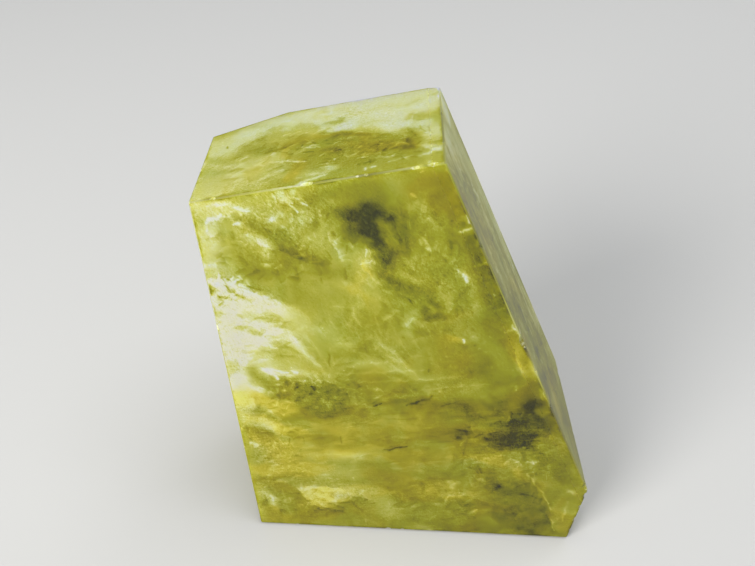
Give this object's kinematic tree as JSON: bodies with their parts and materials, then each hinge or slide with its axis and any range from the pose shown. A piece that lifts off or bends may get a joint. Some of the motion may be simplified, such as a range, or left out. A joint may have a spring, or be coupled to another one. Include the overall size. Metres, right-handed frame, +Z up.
{
  "type": "citrine crystal",
  "caption": "Free-standing leaning block of clear yellow quartz, sawn flat underneath, with hand-polished faces, cloudy veils inside and small edge chips.",
  "frame": {"origin": "middle of the foot of the bounding box, level with the sawn base that the stone rests on", "axes": "+Z up; the largest polished face looks along -Y and leans back; +X is towards the shoulder that slopes in"},
  "size_m": [0.0716, 0.0452, 0.0775],
  "materials": {
    "citrine": "clear yellow-olive quartz, hand polished, with milky and smoky veils inside"
  },
  "bodies": {
    "root": {"crystal": "citrine"}
  },
  "joints": []
}
